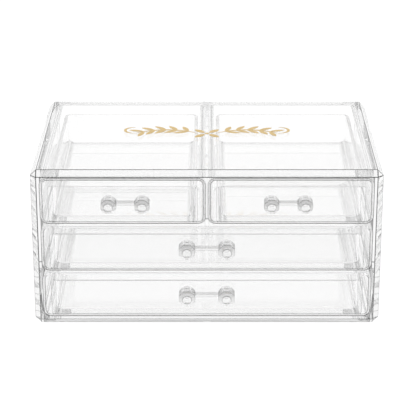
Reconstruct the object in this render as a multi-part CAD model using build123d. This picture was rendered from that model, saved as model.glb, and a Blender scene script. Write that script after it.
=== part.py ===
"""Clear drawer organiser: a bevelled case with two half-width drawers above two full-width ones."""

import os
from math import cos, pi

from build123d import *

# Case, in millimetres. X runs left to right, Y front to back, Z up, and the base rests on Z = 0.
case_width = 240.0
case_depth = 160.0
case_wall = 6.6
case_lid = 5.0
case_base = 7.0
case_bevel = 4.2
tiers = 3
tier_height = 32.5
shelf_thickness = 2.2
divider_thickness = 2.0
pocket_corner = 5.0
pocket_back_corner = 3.0
mouth_bevel = 0.3

# Drawers: a thin front plate that fills the pocket's mouth, with a narrower and lower tray behind it
drawer_recess = 0.3
drawer_gap = 0.6
drawer_bottom_gap = 0.2
drawer_back_gap = 2.0
front_thickness = 2.5
front_bevel = 0.8
tray_inset = 5.0
tray_height = 25.4
tray_wall = 2.7
tray_floor = 2.8
tray_back_corner = 6.0
tray_foot = 2.0
tray_side_fillet = 4.5
tray_end_fillet = 1.5
tray_rim_round = 0.8

# Pulls: two faceted knobs joined by a round bar, held by a peg behind each knob
narrow_knob_width = 10.0
narrow_knob_spacing = 22.8
narrow_pull_height = 15.2
wide_knob_width = 11.0
wide_knob_spacing = 27.3
wide_pull_height = 16.7
knob_length = 12.0
knob_facets = 8
knob_flat = 6.3
knob_front_bevel = 2.2
knob_back_bevel = 0.6
bar_diameter = 3.6
bar_standoff = 3.2
bar_rise = 0.5
narrow_pull_inboard = 2.0
pull_seat_gap = 0.1
peg_diameter = 4.0
peg_length = 3.0
peg_gap = 0.15

# Foil ornament on the lid: a rosette with a leafy spray to each side
foil_thickness = 0.15
foil_seat_gap = 0.02
rosette_petals = 4
rosette_dot = 1.6
rosette_petal_length = 10.0
rosette_petal_width = 4.4
stem_length = 46.0
stem_rise = 9.0
stem_thickness = 2.0
stem_start = 6.0
curl_length = 13.0
curl_rise = 8.0
leaves_per_side = 5
leaf_length = 11.0
leaf_width = 3.6
leaf_angle = 42.0
leaf_clearance = 0.6

# Sizes that follow from those above
case_height = case_base + case_lid + tiers * tier_height + (tiers - 1) * shelf_thickness
case_front = -case_depth / 2
pocket_depth = case_depth - case_wall
full_pocket_width = case_width - 2 * case_wall
half_pocket_width = (full_pocket_width - divider_thickness) / 2
half_pocket_x = (half_pocket_width + divider_thickness) / 2
drawer_length = pocket_depth - drawer_recess - drawer_back_gap
drawer_front = case_front + drawer_recess
front_height = tier_height - drawer_bottom_gap - drawer_gap
front_corner = pocket_corner - drawer_gap


def tier_floor(tier):
    """Height of the floor of a tier, counted from 0 at the bottom."""
    return case_base + tier * (tier_height + shelf_thickness)


def plain_block(width, length, height):
    """Block with its front at Y = 0 and its underside at Z = 0."""
    return Pos(0, length / 2, height / 2) * Box(width, length, height)


def trough(width, length, height, corner):
    """Block with its two lower long edges rounded."""
    block = plain_block(width, length, height)
    return fillet(block.edges().filter_by(Axis.Y).group_by(Axis.Z)[0], corner)


def cradle(width, length, height, corner):
    """Block with its lower front and back edges rounded."""
    block = plain_block(width, length, height)
    return fillet(block.edges().filter_by(Axis.X).group_by(Axis.Z)[0], corner)


def make_pocket(width):
    """Space that one drawer slides into, open at the front, with its floor at Z = 0."""
    pocket = Pos(0, pocket_depth / 2, tier_height / 2) * Box(width, pocket_depth, tier_height)
    pocket = fillet(pocket.edges().filter_by(Axis.Y), pocket_corner)
    pocket = fillet(pocket.faces().sort_by(Axis.Y)[-1].edges(), pocket_back_corner)
    mouth_width = width + 2 * mouth_bevel
    mouth_height = tier_height + 2 * mouth_bevel
    mouth_corner = pocket_corner + mouth_bevel
    mouth_plane = Plane.XZ * Pos(0, tier_height / 2)
    mouth = mouth_plane * RectangleRounded(mouth_width, mouth_height, mouth_corner)
    throat = mouth_plane * Pos(0, 0, -mouth_bevel) * RectangleRounded(width, tier_height, pocket_corner)
    return pocket + loft([mouth, throat])


def make_case(pockets):
    """One moulding: an all-round bevelled block with a pocket for each drawer."""
    case = Pos(0, 0, case_height / 2) * Box(case_width, case_depth, case_height)
    case = chamfer(case.edges(), case_bevel)
    for x, tier, width in pockets:
        case -= Pos(x, case_front, tier_floor(tier)) * make_pocket(width)
    return case


def make_front(width):
    """Round-cornered plate with a fine bevel around its face, which is at Y = 0."""
    outline = RectangleRounded(width, front_height, front_corner)
    plate = Pos(0, 0, front_height / 2) * Rot(-90, 0, 0) * extrude(outline, front_thickness)
    return chamfer(plate.faces().sort_by(Axis.Y)[0].edges(), front_bevel)


def make_tray(width):
    """Solid form of the tray, which starts inside the front plate and is rounded at its back and foot."""
    length = drawer_length - front_bevel
    tray = plain_block(width, length, tray_height)
    tray = fillet(tray.edges().filter_by(Axis.Z).group_by(Axis.Y)[-1], tray_back_corner)
    tray &= trough(width, length, tray_height, tray_foot)
    return Pos(0, front_bevel, 0) * tray


def make_hollow(width):
    """Space inside a tray, rounded along its floor and up its corners."""
    length = drawer_length - front_thickness - 2 * tray_wall
    hollow = plain_block(width, length, front_height)
    hollow = fillet(hollow.edges().filter_by(Axis.Z), tray_back_corner - tray_wall)
    hollow &= trough(width, length, front_height, tray_side_fillet)
    hollow &= cradle(width, length, front_height, tray_end_fillet)
    return Pos(0, front_thickness + tray_wall, tray_floor) * hollow


def make_drawer(pocket_width, knob_spacing, pull_x, pull_height):
    """Front plate and tray in one moulding, with two blind sockets for the pegs of the pull."""
    front_width = pocket_width - 2 * drawer_gap
    tray_width = front_width - 2 * tray_inset
    drawer = make_front(front_width) + make_tray(tray_width) - make_hollow(tray_width - 2 * tray_wall)
    at_rim = drawer.edges().filter_by_position(Axis.Z, tray_height, tray_height)
    rim_edges = [edge for edge in at_rim if edge.center().Y > front_thickness + tray_wall / 2]
    drawer = fillet(rim_edges, tray_rim_round)
    socket_radius = peg_diameter / 2 + peg_gap
    socket_depth = peg_length + peg_gap - pull_seat_gap
    for side in (-1, 1):
        seat = Pos(pull_x + side * knob_spacing / 2, socket_depth / 2, pull_height)
        drawer -= seat * Rot(90, 0, 0) * Cylinder(socket_radius, socket_depth)
    return drawer


def make_knob(width):
    """Faceted knob standing out from Y = 0 towards the front, with a round flat on its face."""
    corner_radius = width / 2 / cos(pi / knob_facets)
    facets = RegularPolygon(corner_radius, knob_facets, rotation=180 / knob_facets)
    prism = Rot(90, 0, 0) * extrude(facets, knob_length)
    flat_radius = knob_flat / 2
    bevel_slope = knob_front_bevel / (width / 2 - flat_radius)
    shoulder = knob_length - bevel_slope * (corner_radius - flat_radius)
    profile = Polyline(
        (0, 0),
        (corner_radius - knob_back_bevel, 0),
        (corner_radius, -knob_back_bevel),
        (corner_radius, -shoulder),
        (flat_radius, -knob_length),
        (0, -knob_length),
        close=True,
    )
    return prism & revolve(make_face(profile), Axis.Y)


def make_pull(knob_width, knob_spacing):
    """Two knobs, the bar between them and a peg behind each, moulded as one."""
    pull = Pos(0, -bar_standoff, bar_rise) * Rot(0, 90, 0) * Cylinder(bar_diameter / 2, knob_spacing)
    for side in (-1, 1):
        peg = Pos(0, peg_length / 2, 0) * Rot(90, 0, 0) * Cylinder(peg_diameter / 2, peg_length)
        pull += Pos(side * knob_spacing / 2, 0, 0) * (make_knob(knob_width) + peg)
    return pull


def crescent(length, rise, thickness):
    """Flat sliver with a pointed tip at the origin and one at X = length, bowed towards +Y by its rise."""
    back = ThreePointArc((0, 0), (length / 2, rise), (length, 0))
    belly = ThreePointArc((length, 0), (length / 2, rise - thickness), (0, 0))
    return make_face([back, belly])


def leaf(length, width):
    """Flat leaf along +X from a tip at the origin."""
    return crescent(length, width / 2, width)


def make_spray():
    """Right-hand half of the ornament: a bowed stem with leaves on both sides and a curl at its end."""
    spray = crescent(stem_length, stem_rise, stem_thickness)
    middle_rise = stem_rise - stem_thickness / 2
    path = ThreePointArc((0, 0), (stem_length / 2, middle_rise), (stem_length, 0))
    for number in range(leaves_per_side):
        along = (number + 1) / (leaves_per_side + 1)
        foot = path.position_at(along)
        heading = path.tangent_angle_at(along)
        for side in (-1, 1):
            place = Pos(foot.X, foot.Y) * Rot(0, 0, heading + side * leaf_angle)
            spray += place * Pos(leaf_clearance, 0) * leaf(leaf_length, leaf_width)
    curl = crescent(curl_length, -curl_rise, -stem_thickness)
    spray += Pos(stem_length, leaf_clearance) * Rot(0, 0, 90) * curl
    return Pos(stem_start, 0) * spray


def make_ornament():
    """Rosette and two mirrored sprays, as one thin foil lying on Z = 0."""
    foil = Circle(rosette_dot)
    for petal in range(rosette_petals):
        place = Rot(0, 0, 360 / rosette_petals * (petal + 0.5)) * Pos(rosette_dot + leaf_clearance, 0)
        foil += place * leaf(rosette_petal_length, rosette_petal_width)
    spray = make_spray()
    foil += spray
    foil += mirror(spray, Plane.YZ)
    return extrude(foil, foil_thickness)


narrow = (half_pocket_width, narrow_knob_width, narrow_knob_spacing, narrow_pull_height)
wide = (full_pocket_width, wide_knob_width, wide_knob_spacing, wide_pull_height)

# Name, sideways place of the pocket, tier, sizes, sideways place of the pull on the drawer
bays = [
    ("top_left", -half_pocket_x, 2, narrow, narrow_pull_inboard),
    ("top_right", half_pocket_x, 2, narrow, -narrow_pull_inboard),
    ("middle", 0.0, 1, wide, 0.0),
    ("bottom", 0.0, 0, wide, 0.0),
]

nodes = {"case": make_case([(x, tier, sizes[0]) for _, x, tier, sizes, _ in bays])}
for name, x, tier, sizes, pull_x in bays:
    pocket_width, knob_width, knob_spacing, pull_height = sizes
    drawer_place = Pos(x, drawer_front, tier_floor(tier) + drawer_bottom_gap)
    pull_place = drawer_place * Pos(pull_x, -pull_seat_gap, pull_height)
    nodes[name + "_drawer"] = drawer_place * make_drawer(pocket_width, knob_spacing, pull_x, pull_height)
    nodes[name + "_pull"] = pull_place * make_pull(knob_width, knob_spacing)
nodes["foil_ornament"] = Pos(0, 0, case_height + foil_seat_gap) * make_ornament()

os.makedirs("parts", exist_ok=True)
for name, shape in nodes.items():
    export_step(shape, f"parts/{name}.step")
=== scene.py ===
"""Looks of the clear drawer organiser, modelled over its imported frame."""

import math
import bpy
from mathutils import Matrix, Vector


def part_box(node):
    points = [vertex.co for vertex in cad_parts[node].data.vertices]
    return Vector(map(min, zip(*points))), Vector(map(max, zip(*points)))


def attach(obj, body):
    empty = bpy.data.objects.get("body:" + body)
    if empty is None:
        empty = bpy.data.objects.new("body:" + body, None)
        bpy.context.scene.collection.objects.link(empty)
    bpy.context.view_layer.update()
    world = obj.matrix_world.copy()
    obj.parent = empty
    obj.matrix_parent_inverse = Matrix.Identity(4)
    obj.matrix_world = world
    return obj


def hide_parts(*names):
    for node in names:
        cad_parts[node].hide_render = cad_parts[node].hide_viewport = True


bl_info = {
    "name": "Clear drawer organiser",
    "version": (1, 0, 0),
    "blender": (4, 5, 0),
    "location": "3D View > Sidebar > Organiser",
    "description": "Models a clear case with four drawers, their pulls and the foil on the lid",
    "category": "Object",
}

import bmesh
import bpy
from mathutils import Vector

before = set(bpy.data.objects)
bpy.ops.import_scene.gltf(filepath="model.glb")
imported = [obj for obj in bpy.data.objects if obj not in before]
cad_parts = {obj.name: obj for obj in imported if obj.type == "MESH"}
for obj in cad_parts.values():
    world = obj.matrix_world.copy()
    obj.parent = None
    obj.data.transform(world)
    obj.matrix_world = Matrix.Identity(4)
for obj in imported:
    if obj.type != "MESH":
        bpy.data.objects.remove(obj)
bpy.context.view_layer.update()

BAYS = ("top_left", "top_right", "middle", "bottom")
SHELVED_BAYS = ("middle", "bottom")
ACROSS = Vector((1, 0, 0))
ALONG = Vector((0, 1, 0))
UPRIGHT = Vector((0, 0, 1))

# Lengths: how far a cutting form passes the face it cuts, the step that keeps two flush faces apart,
# and what counts as touching
OVERSHOOT = 0.01
FLUSH_STEP = 0.00002
NEAR = 1e-5

# Angles between faces: up to which they are one flat, above which an edge is rounded, and below which
# it is shaded smooth
FLAT_ANGLE = math.radians(0.2)
SHARP_ANGLE = math.radians(20)
SMOOTH_ANGLE = math.radians(32)

# Segments of each rounding, and sides of each round form
EDGE_SEGMENTS = 3
POCKET_SEGMENTS = 12
POCKET_BACK_SEGMENTS = 6
CORNER_SEGMENTS = 10
FINE_SEGMENTS = 8
KNOB_FACETS = 8
TURNED_SIDES = 64
ROD_SIDES = 48
FLOOR_SIDES = 96
FLAT_FACE_WEIGHT = 100

# Painted shade on the edges: the attribute that carries it, the forward part of a normal below which a face
# is a side, the share of the painted shade on a side that looks level, and the reach of the bands without
# painted shade below and above the top of a drawer that has a shelf over it
PAINTED_SHADE_ATTRIBUTE = "painted_edge_shade"
SIDEWAYS = 0.95
LEVEL_MARK = 0.7
BAND_BELOW = 0.0015
BAND_ABOVE = 0.0012

# Plastic and foil: each noise has a scale and a detail, and its middle span is spread over a range
PLASTIC_IOR = 1.49
PLASTIC_HAZE = 0.01
PULL_HAZE = 0.02
SMEAR_NOISE = (60.0, 3.0)
PATCH_NOISE = (140.0, 4.0)
GRAIN_NOISE = (1800.0, 2.0)
NOISE_SPAN = (0.3, 0.7)
FOIL_ROUGHNESS = (0.22, 0.42)
FOIL_BUMP_STRENGTH = 0.15
FOIL_BUMP_DEPTH = 0.0001

# Studio: the room turns from white to grey between two values of a direction
ROOM_GREY = 0.68
GREY_OVERHEAD = (0.48, 0.55)
GREY_AT_SIDES = (0.5, 0.65)
GREY_IN_FRONT = (0.15, -0.05)
FLOOR_RADIUS = 6
FLOOR_DROP = 0.0003
FLOOR_COLOUR = (0.18, 0.18, 0.18, 1)
FLOOR_GLOW = 0.99
FLOOR_ROUGHNESS = 0.9
SOFTBOX_PLACE = (0, 0.3, 2.2)
SOFTBOX_SIZE = (2.4, 1.6)
SENSOR_WIDTH = 36
NEAREST_VIEW = 0.01
FARTHEST_VIEW = 50
LIGHT_BOUNCES = 160
WHITE = (1, 1, 1, 1)


# Sizes and colours that a user would change

class CaseSettings(bpy.types.PropertyGroup):
    bevel: bpy.props.FloatProperty(
        name="Bevel", description="Width of the flat bevel on every outer edge",
        default=0.0042, min=0, unit="LENGTH")
    pocket_corner: bpy.props.FloatProperty(
        name="Pocket corner", description="Radius of the long edges of each drawer pocket",
        default=0.005, min=0, unit="LENGTH")
    pocket_back_corner: bpy.props.FloatProperty(
        name="Pocket back corner", description="Radius around the back of each drawer pocket",
        default=0.003, min=0, unit="LENGTH")
    edge_round: bpy.props.FloatProperty(
        name="Edge round", description="Width of the fine rounding on sharp edges",
        default=0.0004, min=0, unit="LENGTH")


class DrawerSettings(bpy.types.PropertyGroup):
    gap: bpy.props.FloatProperty(
        name="Gap", description="Room between a drawer's front plate and its pocket",
        default=0.0006, min=0, unit="LENGTH")
    bottom_gap: bpy.props.FloatProperty(
        name="Bottom gap", description="Room under a drawer",
        default=0.0002, min=0, unit="LENGTH")
    back_gap: bpy.props.FloatProperty(
        name="Back gap", description="Room behind a drawer",
        default=0.002, min=0, unit="LENGTH")
    front_thickness: bpy.props.FloatProperty(
        name="Front thickness", description="Thickness of the front plate",
        default=0.0025, min=0, unit="LENGTH")
    front_bevel: bpy.props.FloatProperty(
        name="Front bevel", description="Width of the fine bevel around the front plate",
        default=0.0008, min=0, unit="LENGTH")
    tray_inset: bpy.props.FloatProperty(
        name="Tray inset", description="How far the tray stands in from the sides of the front plate",
        default=0.005, min=0, unit="LENGTH")
    tray_height: bpy.props.FloatProperty(
        name="Tray height", description="Height of the tray behind the front plate",
        default=0.0254, min=0, unit="LENGTH")
    tray_wall: bpy.props.FloatProperty(
        name="Tray wall", description="Thickness of the tray's walls",
        default=0.0027, min=0, unit="LENGTH")
    tray_floor: bpy.props.FloatProperty(
        name="Tray floor", description="Thickness of the tray's floor",
        default=0.0028, min=0, unit="LENGTH")
    back_corner: bpy.props.FloatProperty(
        name="Back corner", description="Radius of the tray's upright back corners",
        default=0.006, min=0, unit="LENGTH")
    tray_foot: bpy.props.FloatProperty(
        name="Tray foot", description="Radius of the tray's two long lower edges",
        default=0.002, min=0, unit="LENGTH")
    side_fillet: bpy.props.FloatProperty(
        name="Side fillet", description="Radius between the floor and the side walls inside",
        default=0.0045, min=0, unit="LENGTH")
    end_fillet: bpy.props.FloatProperty(
        name="End fillet", description="Radius between the floor and the front and back walls inside",
        default=0.0015, min=0, unit="LENGTH")
    rim_round: bpy.props.FloatProperty(
        name="Rim round", description="Radius along the tray's rim",
        default=0.0008, min=0, unit="LENGTH")
    edge_round: bpy.props.FloatProperty(
        name="Edge round", description="Width of the fine rounding on sharp edges",
        default=0.00025, min=0, unit="LENGTH")


class PullSettings(bpy.types.PropertyGroup):
    narrow_knob: bpy.props.FloatProperty(
        name="Narrow knob", description="Width of a knob on a half-width drawer",
        default=0.010, min=0, unit="LENGTH")
    wide_knob: bpy.props.FloatProperty(
        name="Wide knob", description="Width of a knob on a full-width drawer",
        default=0.011, min=0, unit="LENGTH")
    knob_flat: bpy.props.FloatProperty(
        name="Knob flat", description="Diameter of the round flat on the knob's face",
        default=0.0063, min=0, unit="LENGTH")
    front_bevel: bpy.props.FloatProperty(
        name="Front bevel", description="How far the knob's front bevel runs back on its facets",
        default=0.0022, min=0, unit="LENGTH")
    back_bevel: bpy.props.FloatProperty(
        name="Back bevel", description="Width of the bevel on the corners at the back of a knob",
        default=0.0006, min=0, unit="LENGTH")
    bar: bpy.props.FloatProperty(
        name="Bar", description="Diameter of the bar between the knobs",
        default=0.0036, min=0, unit="LENGTH")
    bar_standoff: bpy.props.FloatProperty(
        name="Bar standoff", description="How far the bar's middle stands off the back of the knobs",
        default=0.0032, min=0, unit="LENGTH")
    bar_rise: bpy.props.FloatProperty(
        name="Bar rise", description="How far the bar lies above the middle of the knobs",
        default=0.0005, min=0, unit="LENGTH")
    peg: bpy.props.FloatProperty(
        name="Peg", description="Diameter of the peg behind each knob",
        default=0.004, min=0, unit="LENGTH")
    peg_length: bpy.props.FloatProperty(
        name="Peg length", description="Length of that peg",
        default=0.003, min=0, unit="LENGTH")
    peg_gap: bpy.props.FloatProperty(
        name="Peg gap", description="Room around a peg in its socket",
        default=0.00015, min=0, unit="LENGTH")
    edge_round: bpy.props.FloatProperty(
        name="Edge round", description="Width of the fine rounding on the facets",
        default=0.00025, min=0, unit="LENGTH")


class FinishSettings(bpy.types.PropertyGroup):
    plastic_colour: bpy.props.FloatVectorProperty(
        name="Plastic", description="Surface colour of the clear plastic",
        subtype="COLOR", size=4, default=(0.985, 0.985, 0.985, 1), min=0, max=1)
    pull_colour: bpy.props.FloatVectorProperty(
        name="Pulls", description="Surface colour of the pulls",
        subtype="COLOR", size=4, default=(0.97, 0.97, 0.97, 1), min=0, max=1)
    # Painted shade on the sides of the pulls, darkest on the sides that look up
    facet_shade: bpy.props.FloatProperty(
        name="Facet shade", description="How far the sides of the pulls go towards the grey of the edges",
        default=0.38, min=0, max=1)
    # Painted shade: the dark grey painted on the rounded edges and on the sides of the pulls
    painted_shade_colour: bpy.props.FloatVectorProperty(
        name="Edges", description="Grey of the fine rounding along the edges of the clear plastic",
        subtype="COLOR", size=4, default=(0.06, 0.06, 0.06, 1), min=0, max=1)
    depth_colour: bpy.props.FloatVectorProperty(
        name="Depth tint", description="Colour that thick plastic takes on",
        subtype="COLOR", size=4, default=(0.90, 0.90, 0.90, 1), min=0, max=1)
    depth_density: bpy.props.FloatProperty(
        name="Depth density", description="How fast the plastic darkens with depth",
        default=6.0, min=0)
    foil_light: bpy.props.FloatVectorProperty(
        name="Foil light", description="Brighter tone of the foil",
        subtype="COLOR", size=4, default=(0.83, 0.62, 0.27, 1), min=0, max=1)
    foil_dark: bpy.props.FloatVectorProperty(
        name="Foil dark", description="Darker tone of the foil",
        subtype="COLOR", size=4, default=(0.62, 0.42, 0.15, 1), min=0, max=1)


class StudioSettings(bpy.types.PropertyGroup):
    camera_place: bpy.props.FloatVectorProperty(
        name="Camera place", description="Where the camera stands",
        subtype="TRANSLATION", size=3, default=(0.0008, -1.137, 0.499))
    camera_tilt: bpy.props.FloatProperty(
        name="Camera tilt", description="How far the camera looks down",
        subtype="ANGLE", default=math.radians(21.27))
    lens: bpy.props.FloatProperty(
        name="Lens", description="Focal length of the camera in millimetres",
        default=144.3, min=1)
    room_light: bpy.props.FloatProperty(
        name="Room light", description="Strength of the even light from all round",
        default=1.05, min=0)
    softbox_power: bpy.props.FloatProperty(
        name="Softbox power", description="Power of the large light overhead",
        subtype="POWER", default=4.0, min=0)


# Modelling by hand: what each operator uses

def settings(name):
    """Settings of one group, as the panel shows them."""
    return getattr(bpy.context.scene, "organiser_" + name)


def deselect():
    """Leaves nothing selected, so that an operator acts on the new piece alone."""
    if bpy.context.mode != "OBJECT":
        bpy.ops.object.mode_set(mode="OBJECT")
    bpy.ops.object.select_all(action="DESELECT")


def activate(piece):
    """Makes a piece the only one selected."""
    deselect()
    piece.select_set(True)
    bpy.context.view_layer.objects.active = piece


def settle(piece, name):
    """Names a new primitive and moves its place and size into its mesh."""
    piece.name = name
    piece.data.name = name
    activate(piece)
    bpy.ops.object.transform_apply(location=True, rotation=True, scale=True)
    return piece


def add_block(name, low, high):
    """Plain block between two corners."""
    deselect()
    low = Vector(low)
    high = Vector(high)
    bpy.ops.mesh.primitive_cube_add(size=1, location=(low + high) / 2, scale=high - low)
    return settle(bpy.context.object, name)


def select_edges(piece, wanted, sharper):
    """Enters edit mode with those edges selected for which wanted(one end, other end) holds."""
    activate(piece)
    bpy.ops.object.mode_set(mode="EDIT")
    bpy.ops.mesh.select_mode(type="EDGE")
    bpy.ops.mesh.select_all(action="DESELECT")
    mesh = bmesh.from_edit_mesh(piece.data)
    chosen = 0
    for edge in mesh.edges:
        if edge.calc_face_angle(0) > sharper and wanted(edge.verts[0].co, edge.verts[1].co):
            edge.select_set(True)
            chosen += 1
    bmesh.update_edit_mesh(piece.data)
    if not chosen:
        raise RuntimeError("no edge to bevel on " + piece.name)


def bevel_edges(piece, wanted, width, segments, sharper=FLAT_ANGLE, slot=-1):
    """Bevels or rounds the wanted edges of a piece that are sharper than an angle."""
    select_edges(piece, wanted, sharper)
    bpy.ops.mesh.bevel(
        offset=width, segments=segments, profile=0.5, affect="EDGES", clamp_overlap=False, material=slot)
    bpy.ops.object.mode_set(mode="OBJECT")


def runs(axis):
    """Test for an edge that runs along an axis."""
    return lambda a, b: (b - a).normalized().cross(axis).length < NEAR


def any_edge(a, b):
    """Test that every edge passes."""
    return True


def in_plane(axis, height):
    """Test for an edge that lies in a plane across an axis."""
    return lambda a, b: abs(a.dot(axis) - height) < NEAR and abs(b.dot(axis) - height) < NEAR


def all_of(*tests):
    """Test for an edge that passes every one of these tests."""
    return lambda a, b: all(test(a, b) for test in tests)


def clear_of(places, radius):
    """Test for an edge that lies outside a round of this radius about the fore-and-aft axis of each place."""
    def wanted(a, b):
        middle = (a + b) / 2
        return all((middle - place).cross(ALONG).length > radius for place in places)
    return wanted


def combine(piece, tool, operation):
    """Cuts a piece by a tool, joins them or keeps what they share, and removes the tool."""
    activate(piece)
    bpy.ops.object.modifier_add(type="BOOLEAN")
    modifier = piece.modifiers[-1]
    modifier.operation = operation
    modifier.object = tool
    modifier.solver = "EXACT"
    bpy.ops.object.modifier_apply(modifier=modifier.name)
    bpy.data.objects.remove(tool)


def merge_flats(piece):
    """Joins the faces that lie in one plane, so that no edge crosses a flat."""
    activate(piece)
    bpy.ops.object.mode_set(mode="EDIT")
    bpy.ops.mesh.select_all(action="SELECT")
    bpy.ops.mesh.remove_doubles(threshold=NEAR)
    bpy.ops.mesh.dissolve_limited(angle_limit=FLAT_ANGLE)
    bpy.ops.object.mode_set(mode="OBJECT")


def unshaded_bands():
    """Heights about the underside of each shelf, where the edges of shelf and drawer get no painted shade."""
    tops = [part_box(bay + "_drawer")[1].z for bay in SHELVED_BAYS]
    return [(top - BAND_BELOW, top + BAND_ABOVE) for top in tops]


def paint_edge_shade(piece, side_shade):
    """Turns the second slot into painted shade. A side shade paints shade on sides too, most on those that
    look up.
    """
    bands = unshaded_bands()
    painted_shade = piece.data.attributes.new(PAINTED_SHADE_ATTRIBUTE, "FLOAT", "FACE")
    for face in piece.data.polygons:
        value = face.material_index
        # Painted shade on the sides of a pull: full on faces that look up, less on level ones, none on those
        # that look down
        if side_shade:
            faces_sideways = abs(face.normal.y) < SIDEWAYS
            upward = min(max(LEVEL_MARK + face.normal.z, 0), 1)
            value = upward * max(value, side_shade if faces_sideways else 0)
        # No painted shade in the bands about the underside of each shelf
        if any(low < face.center.z < high for low, high in bands):
            value = 0
        painted_shade.data[face.index].value = value
        face.material_index = 0
    piece.data.materials.pop(index=1)


def finish_edges(piece, wanted, width, material, side_shade=0):
    """Gives a piece its material, rounds its sharp edges and paints shade on them, and shades it smooth."""
    merge_flats(piece)
    piece.data.materials.clear()
    piece.data.materials.append(material)
    piece.data.materials.append(material)
    bevel_edges(piece, wanted, width, EDGE_SEGMENTS, SHARP_ANGLE, 1)
    paint_edge_shade(piece, side_shade)
    bpy.ops.object.shade_smooth_by_angle(angle=SMOOTH_ANGLE)
    bpy.ops.object.modifier_add(type="WEIGHTED_NORMAL")
    modifier = piece.modifiers[-1]
    modifier.weight = FLAT_FACE_WEIGHT
    modifier.keep_sharp = True
    bpy.ops.object.modifier_apply(modifier=modifier.name)


def dress(piece, body, node):
    """Puts a finished piece in the place of its CAD node."""
    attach(piece, body)
    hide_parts(node)


# Materials

def new_material(name):
    """Node material and its shader."""
    material = bpy.data.materials.new(name)
    material.use_nodes = True
    return material, material.node_tree.nodes["Principled BSDF"]


def add_noise(tree, scale, detail):
    """Noise on the object's own coordinates."""
    place = tree.nodes.new("ShaderNodeTexCoord")
    noise = tree.nodes.new("ShaderNodeTexNoise")
    noise.inputs["Scale"].default_value = scale
    noise.inputs["Detail"].default_value = detail
    tree.links.new(place.outputs["Object"], noise.inputs["Vector"])
    return noise.outputs["Fac"]


def add_range(tree, noise, low, high):
    """Spreads the middle span of a noise over a range of values."""
    remap = tree.nodes.new("ShaderNodeMapRange")
    remap.inputs["From Min"].default_value = NOISE_SPAN[0]
    remap.inputs["From Max"].default_value = NOISE_SPAN[1]
    remap.inputs["To Min"].default_value = low
    remap.inputs["To Max"].default_value = high
    tree.links.new(noise, remap.inputs["Value"])
    return remap.outputs["Result"]


def add_tones(tree, factor, first, second):
    """Colour that goes from the first to the second with a factor."""
    tones = tree.nodes.new("ShaderNodeMix")
    tones.data_type = "RGBA"
    tones.inputs["A"].default_value = first
    tones.inputs["B"].default_value = second
    tree.links.new(factor, tones.inputs["Factor"])
    return tones.outputs["Result"]


def clear_plastic(name, colour, haze):
    """Polished clear plastic: painted shade where the edge attribute marks it, patches of faint haze and a
    grey tint in its depth.
    """
    finish = settings("finish")
    material, shader = new_material(name)
    tree = material.node_tree
    edges = tree.nodes.new("ShaderNodeAttribute")
    edges.attribute_name = PAINTED_SHADE_ATTRIBUTE
    # Painted shade: the base colour turns to the edge grey where the attribute marks the face
    tones = add_tones(tree, edges.outputs["Fac"], colour, finish.painted_shade_colour)
    tree.links.new(tones, shader.inputs["Base Color"])
    shader.inputs["Transmission Weight"].default_value = 1.0
    shader.inputs["IOR"].default_value = PLASTIC_IOR
    roughness = add_range(tree, add_noise(tree, *SMEAR_NOISE), 0.0, haze)
    tree.links.new(roughness, shader.inputs["Roughness"])
    depth = tree.nodes.new("ShaderNodeVolumeAbsorption")
    depth.inputs["Color"].default_value = finish.depth_colour
    depth.inputs["Density"].default_value = finish.depth_density
    tree.links.new(depth.outputs["Volume"], tree.nodes["Material Output"].inputs["Volume"])
    return material


def gold_foil(name):
    """Pressed metal foil: two gold tones in soft patches, with a fine grain."""
    finish = settings("finish")
    material, shader = new_material(name)
    tree = material.node_tree
    shader.inputs["Metallic"].default_value = 1.0
    patches = add_noise(tree, *PATCH_NOISE)
    tones = add_tones(tree, patches, finish.foil_dark, finish.foil_light)
    tree.links.new(tones, shader.inputs["Base Color"])
    roughness = add_range(tree, patches, *FOIL_ROUGHNESS)
    tree.links.new(roughness, shader.inputs["Roughness"])
    bump = tree.nodes.new("ShaderNodeBump")
    bump.inputs["Strength"].default_value = FOIL_BUMP_STRENGTH
    bump.inputs["Distance"].default_value = FOIL_BUMP_DEPTH
    tree.links.new(add_noise(tree, *GRAIN_NOISE), bump.inputs["Height"])
    tree.links.new(bump.outputs["Normal"], shader.inputs["Normal"])
    return material


# Pieces

def pocket_box(bay):
    """Corners of the pocket that a drawer slides in, from the drawer's own box."""
    gaps = settings("drawer")
    low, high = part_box(bay + "_drawer")
    case_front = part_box("case")[0].y
    pocket_low = Vector((low.x - gaps.gap, case_front, low.z - gaps.bottom_gap))
    pocket_high = Vector((high.x + gaps.gap, high.y + gaps.back_gap, high.z + gaps.gap))
    return pocket_low, pocket_high


class ORGANISER_OT_case(bpy.types.Operator):
    """Bevelled case with a round-cornered pocket for each drawer"""
    bl_idname = "organiser.case"
    bl_label = "Case"

    def execute(self, context):
        sizes = settings("case")
        low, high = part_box("case")
        case = add_block("clear_case", low, high)
        bevel_edges(case, any_edge, sizes.bevel, 1)
        for bay in BAYS:
            pocket_low, pocket_high = pocket_box(bay)
            pocket = add_block("pocket", pocket_low - ALONG * OVERSHOOT, pocket_high)
            bevel_edges(pocket, runs(ALONG), sizes.pocket_corner, POCKET_SEGMENTS)
            at_back = in_plane(ALONG, pocket_high.y)
            bevel_edges(pocket, at_back, sizes.pocket_back_corner, POCKET_BACK_SEGMENTS)
            combine(case, pocket, "DIFFERENCE")
        material = clear_plastic("case_plastic", settings("finish").plastic_colour, PLASTIC_HAZE)
        finish_edges(case, any_edge, sizes.edge_round, material)
        dress(case, "case", "case")
        return {"FINISHED"}


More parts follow.
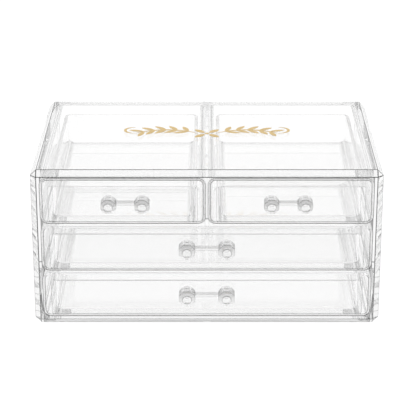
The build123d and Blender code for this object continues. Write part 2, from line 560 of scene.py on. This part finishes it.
def extrude_front(piece, shift, scale):
    """Draws the front face of a block out by a shift and scales its new end about its middle."""
    activate(piece)
    bpy.ops.object.mode_set(mode="EDIT")
    bpy.ops.mesh.select_mode(type="FACE")
    bpy.ops.mesh.select_all(action="DESELECT")
    mesh = bmesh.from_edit_mesh(piece.data)
    front = min(mesh.faces, key=lambda face: face.calc_center_median().y)
    front.select_set(True)
    bmesh.update_edit_mesh(piece.data)
    bpy.ops.mesh.extrude_region_move(TRANSFORM_OT_translate={"value": shift})
    bpy.ops.transform.resize(value=scale)
    bpy.ops.object.mode_set(mode="OBJECT")


def add_front_plate(name, low, high):
    """Round-cornered front plate of a drawer with a fine bevel around its face."""
    sizes = settings("drawer")
    plate = add_block(name, low, high)
    bevel_edges(plate, runs(ALONG), settings("case").pocket_corner - sizes.gap, CORNER_SEGMENTS)
    bevel_edges(plate, in_plane(ALONG, low.y), sizes.front_bevel, 1)
    return plate


def add_tray_form(name, low, high):
    """Solid form of a tray, rounded at its upright back corners and along its foot."""
    sizes = settings("drawer")
    form = add_block(name, low, high)
    bevel_edges(form, all_of(runs(UPRIGHT), in_plane(ALONG, high.y)), sizes.back_corner, CORNER_SEGMENTS)
    trough = add_block("trough", low, high)
    bevel_edges(trough, all_of(runs(ALONG), in_plane(UPRIGHT, low.z)), sizes.tray_foot, CORNER_SEGMENTS)
    combine(form, trough, "INTERSECT")
    return form


def add_hollow(low, high):
    """Space inside a tray, rounded along its floor and up its corners."""
    sizes = settings("drawer")
    hollow = add_block("hollow", low, high)
    bevel_edges(hollow, runs(UPRIGHT), sizes.back_corner - sizes.tray_wall, CORNER_SEGMENTS)
    trough = add_block("trough", low, high)
    at_floor = in_plane(UPRIGHT, low.z)
    bevel_edges(trough, all_of(runs(ALONG), at_floor), sizes.side_fillet, CORNER_SEGMENTS)
    combine(hollow, trough, "INTERSECT")
    cradle = add_block("cradle", low, high)
    bevel_edges(cradle, all_of(runs(ACROSS), at_floor), sizes.end_fillet, FINE_SEGMENTS)
    combine(hollow, cradle, "INTERSECT")
    return hollow


def add_rod(name, radius, start, end, sides):
    """Round or many-sided rod between two points along X or Y, a flat side up."""
    start = Vector(start)
    end = Vector(end)
    run = end - start
    deselect()
    bpy.ops.mesh.primitive_cylinder_add(
        vertices=sides, radius=radius, depth=run.length, location=(0, 0, 0), rotation=(0, 0, math.pi / sides))
    rod = settle(bpy.context.object, name)
    rod.rotation_mode = "QUATERNION"
    rod.rotation_quaternion = UPRIGHT.rotation_difference(run)
    rod.location = (start + end) / 2
    return settle(rod, name)


def knob_places(bay):
    """Middle of the back of each knob, from the box of the CAD pull, and the knob's width and length."""
    sizes = settings("pull")
    low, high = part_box(bay + "_pull")
    width = sizes.narrow_knob if bay.startswith("top") else sizes.wide_knob
    back = high.y - sizes.peg_length
    middle = (low.z + high.z) / 2
    places = [Vector((x, back, middle)) for x in (low.x + width / 2, high.x - width / 2)]
    return places, width, back - low.y


def tray_corner(low):
    """Lower front left corner of a tray's form, which starts inside the front plate."""
    sizes = settings("drawer")
    tray_start = (sizes.front_bevel + sizes.front_thickness) / 2
    return low + Vector((sizes.tray_inset, tray_start, FLUSH_STEP))


def add_drawer(name, low, high):
    """Front plate with an open tray behind it, rounded along its rim."""
    sizes = settings("drawer")
    wall = sizes.tray_wall
    plate_back = low.y + sizes.front_thickness
    rim = low.z + sizes.tray_height
    drawer = add_front_plate(name, low, Vector((high.x, plate_back, high.z)))
    tray_low = tray_corner(low)
    tray_high = Vector((high.x - sizes.tray_inset, high.y, rim))
    combine(drawer, add_tray_form("tray", tray_low, tray_high), "UNION")
    hollow_low = Vector((tray_low.x + wall, plate_back + wall, low.z + sizes.tray_floor))
    hollow_high = Vector((tray_high.x - wall, high.y - wall, high.z + OVERSHOOT))
    combine(drawer, add_hollow(hollow_low, hollow_high), "DIFFERENCE")
    merge_flats(drawer)
    behind_plate = lambda a, b: (a.y + b.y) / 2 > plate_back + wall / 2
    bevel_edges(drawer, all_of(in_plane(UPRIGHT, rim), behind_plate), sizes.rim_round, FINE_SEGMENTS)
    return drawer


def off_flush_step(low):
    """Test for an edge of a drawer that isn't part of the fine step under its front plate."""
    step_top = low.z + 2 * FLUSH_STEP
    tray_front = tray_corner(low).y
    return lambda a, b: max(a.z, b.z) > step_top or max(a.y, b.y) < tray_front


class ORGANISER_OT_drawers(bpy.types.Operator):
    """Four drawers, each a bevelled front plate with an open tray behind it"""
    bl_idname = "organiser.drawers"
    bl_label = "Drawers"

    def execute(self, context):
        pulls = settings("pull")
        socket_radius = pulls.peg / 2 + pulls.peg_gap
        material = clear_plastic("drawer_plastic", settings("finish").plastic_colour, PLASTIC_HAZE)
        for bay in BAYS:
            node = bay + "_drawer"
            low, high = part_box(node)
            drawer = add_drawer("clear_" + node, low, high)
            places, _, _ = knob_places(bay)
            for place in places:
                mouth = place - ALONG * OVERSHOOT
                end = place + ALONG * (pulls.peg_length + pulls.peg_gap)
                combine(drawer, add_rod("socket", socket_radius, mouth, end, ROD_SIDES), "DIFFERENCE")
            wanted = all_of(off_flush_step(low), clear_of(places, socket_radius + NEAR))
            finish_edges(drawer, wanted, settings("drawer").edge_round, material)
            dress(drawer, node, node)
        return {"FINISHED"}


def add_knob(place, width, length):
    """Eight-sided knob that stands out to the front of a place, coned towards a round flat."""
    sizes = settings("pull")
    corner_radius = width / 2 / math.cos(math.pi / KNOB_FACETS)
    flat_radius = sizes.knob_flat / 2
    slope = sizes.front_bevel / (width / 2 - flat_radius)
    shoulder = length - slope * (corner_radius - flat_radius)
    knob = add_rod("knob", corner_radius, place, place - ALONG * length, KNOB_FACETS)
    turned = add_rod("turned", corner_radius, place, place - ALONG * shoulder, TURNED_SIDES)
    shrink = flat_radius / corner_radius
    extrude_front(turned, (0, shoulder - length, 0), (shrink, 1, shrink))
    bevel_edges(turned, in_plane(ALONG, place.y), sizes.back_bevel, 1)
    combine(knob, turned, "INTERSECT")
    return knob


class ORGANISER_OT_pulls(bpy.types.Operator):
    """Four pulls, each two faceted knobs with a bar between them and a peg behind each"""
    bl_idname = "organiser.pulls"
    bl_label = "Pulls"

    def execute(self, context):
        sizes = settings("pull")
        finish = settings("finish")
        material = clear_plastic("pull_plastic", finish.pull_colour, PULL_HAZE)
        bar_shift = UPRIGHT * sizes.bar_rise - ALONG * sizes.bar_standoff
        for bay in BAYS:
            places, width, length = knob_places(bay)
            bar_start, bar_end = [place + bar_shift for place in places]
            pull = add_rod("clear_" + bay + "_pull", sizes.bar / 2, bar_start, bar_end, ROD_SIDES)
            for place in places:
                combine(pull, add_knob(place, width, length), "UNION")
                peg_start = place - ALONG * sizes.bar_standoff
                peg_end = place + ALONG * sizes.peg_length
                combine(pull, add_rod("peg", sizes.peg / 2, peg_start, peg_end, ROD_SIDES), "UNION")
            off_pegs = clear_of(places, sizes.peg / 2 + NEAR)
            finish_edges(pull, off_pegs, sizes.edge_round, material, finish.facet_shade)
            dress(pull, bay + "_drawer", bay + "_pull")
        return {"FINISHED"}


class ORGANISER_OT_foil(bpy.types.Operator):
    """Foil ornament on the lid"""
    bl_idname = "organiser.foil"
    bl_label = "Foil"

    def execute(self, context):
        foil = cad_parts["foil_ornament"]
        foil.data.materials.clear()
        foil.data.materials.append(gold_foil("gold_foil"))
        return {"FINISHED"}


def add_dimming(tree, source, start, end):
    """Factor that falls softly from white to the room's grey between two values of a direction."""
    dim = tree.nodes.new("ShaderNodeMapRange")
    dim.interpolation_type = "SMOOTHSTEP"
    dim.inputs["From Min"].default_value = start
    dim.inputs["From Max"].default_value = end
    dim.inputs["To Min"].default_value = 1.0
    dim.inputs["To Max"].default_value = ROOM_GREY
    tree.links.new(source, dim.inputs["Value"])
    return dim.outputs["Result"]


def studio_world(strength):
    """Even white room that is a light grey overhead, at the sides and in front, to draw the edges."""
    world = bpy.data.worlds.new("studio_room")
    bpy.context.scene.world = world
    world.use_nodes = True
    tree = world.node_tree
    background = tree.nodes["Background"]
    background.inputs["Strength"].default_value = strength
    place = tree.nodes.new("ShaderNodeTexCoord")
    split = tree.nodes.new("ShaderNodeSeparateXYZ")
    tree.links.new(place.outputs["Generated"], split.inputs["Vector"])
    sideways = tree.nodes.new("ShaderNodeMath")
    sideways.operation = "ABSOLUTE"
    tree.links.new(split.outputs["X"], sideways.inputs[0])
    light = add_dimming(tree, split.outputs["Z"], *GREY_OVERHEAD)
    shades = (
        add_dimming(tree, sideways.outputs["Value"], *GREY_AT_SIDES),
        add_dimming(tree, split.outputs["Y"], *GREY_IN_FRONT),
    )
    for shade in shades:
        both = tree.nodes.new("ShaderNodeMath")
        both.operation = "MULTIPLY"
        tree.links.new(light, both.inputs[0])
        tree.links.new(shade, both.inputs[1])
        light = both.outputs["Value"]
    tree.links.new(light, background.inputs["Color"])


def add_floor():
    """Pale floor just under the part, which gives off light so that it comes out white."""
    deselect()
    bpy.ops.mesh.primitive_circle_add(
        vertices=FLOOR_SIDES, radius=FLOOR_RADIUS, fill_type="NGON", location=(0, 0, -FLOOR_DROP))
    floor = settle(bpy.context.object, "studio_floor")
    material, shader = new_material("studio_floor")
    shader.inputs["Base Color"].default_value = FLOOR_COLOUR
    shader.inputs["Emission Color"].default_value = WHITE
    shader.inputs["Emission Strength"].default_value = FLOOR_GLOW
    shader.inputs["Roughness"].default_value = FLOOR_ROUGHNESS
    shader.inputs["Specular IOR Level"].default_value = 0.0
    floor.data.materials.append(material)


def add_softbox(power):
    """Large soft light overhead."""
    bpy.ops.object.light_add(type="AREA", location=SOFTBOX_PLACE)
    softbox = bpy.context.object
    softbox.name = "softbox"
    softbox.data.shape = "RECTANGLE"
    softbox.data.size, softbox.data.size_y = SOFTBOX_SIZE
    softbox.data.energy = power


def add_camera(place, tilt, lens):
    """Camera that looks along Y and down by a tilt."""
    bpy.ops.object.camera_add(location=place, rotation=(math.pi / 2 - tilt, 0, 0))
    camera = bpy.context.object
    camera.data.lens = lens
    camera.data.sensor_width = SENSOR_WIDTH
    camera.data.clip_start = NEAREST_VIEW
    camera.data.clip_end = FARTHEST_VIEW
    return camera


class ORGANISER_OT_studio(bpy.types.Operator):
    """Pale floor, soft light and the camera"""
    bl_idname = "organiser.studio"
    bl_label = "Studio"

    def execute(self, context):
        studio = settings("studio")
        scene = context.scene
        add_floor()
        studio_world(studio.room_light)
        add_softbox(studio.softbox_power)
        scene.camera = add_camera(studio.camera_place, studio.camera_tilt, studio.lens)
        scene.view_settings.view_transform = "Standard"
        scene.cycles.max_bounces = LIGHT_BOUNCES
        scene.cycles.transmission_bounces = LIGHT_BOUNCES
        scene.cycles.glossy_bounces = LIGHT_BOUNCES
        return {"FINISHED"}


class ORGANISER_PT_panel(bpy.types.Panel):
    """Sidebar panel with every piece and its sizes"""
    bl_idname = "ORGANISER_PT_panel"
    bl_label = "Clear drawer organiser"
    bl_space_type = "VIEW_3D"
    bl_region_type = "UI"
    bl_category = "Organiser"

    def draw(self, context):
        for operator in OPERATORS:
            self.layout.operator(operator.bl_idname)
        for name, group in SETTINGS.items():
            box = self.layout.box()
            box.label(text=name.capitalize())
            values = getattr(context.scene, "organiser_" + name)
            for value in group.__annotations__:
                box.prop(values, value)


SETTINGS = {
    "case": CaseSettings,
    "drawer": DrawerSettings,
    "pull": PullSettings,
    "finish": FinishSettings,
    "studio": StudioSettings,
}
OPERATORS = (
    ORGANISER_OT_case,
    ORGANISER_OT_drawers,
    ORGANISER_OT_pulls,
    ORGANISER_OT_foil,
    ORGANISER_OT_studio,
)


def register():
    for name, group in SETTINGS.items():
        bpy.utils.register_class(group)
        setattr(bpy.types.Scene, "organiser_" + name, bpy.props.PointerProperty(type=group))
    for operator in OPERATORS:
        bpy.utils.register_class(operator)
    bpy.utils.register_class(ORGANISER_PT_panel)


def unregister():
    bpy.utils.unregister_class(ORGANISER_PT_panel)
    for operator in reversed(OPERATORS):
        bpy.utils.unregister_class(operator)
    for name, group in SETTINGS.items():
        delattr(bpy.types.Scene, "organiser_" + name)
        bpy.utils.unregister_class(group)


def main():
    register()
    bpy.ops.organiser.case()
    bpy.ops.organiser.drawers()
    bpy.ops.organiser.pulls()
    bpy.ops.organiser.foil()
    bpy.ops.organiser.studio()


if __name__ == "__main__":
    main()
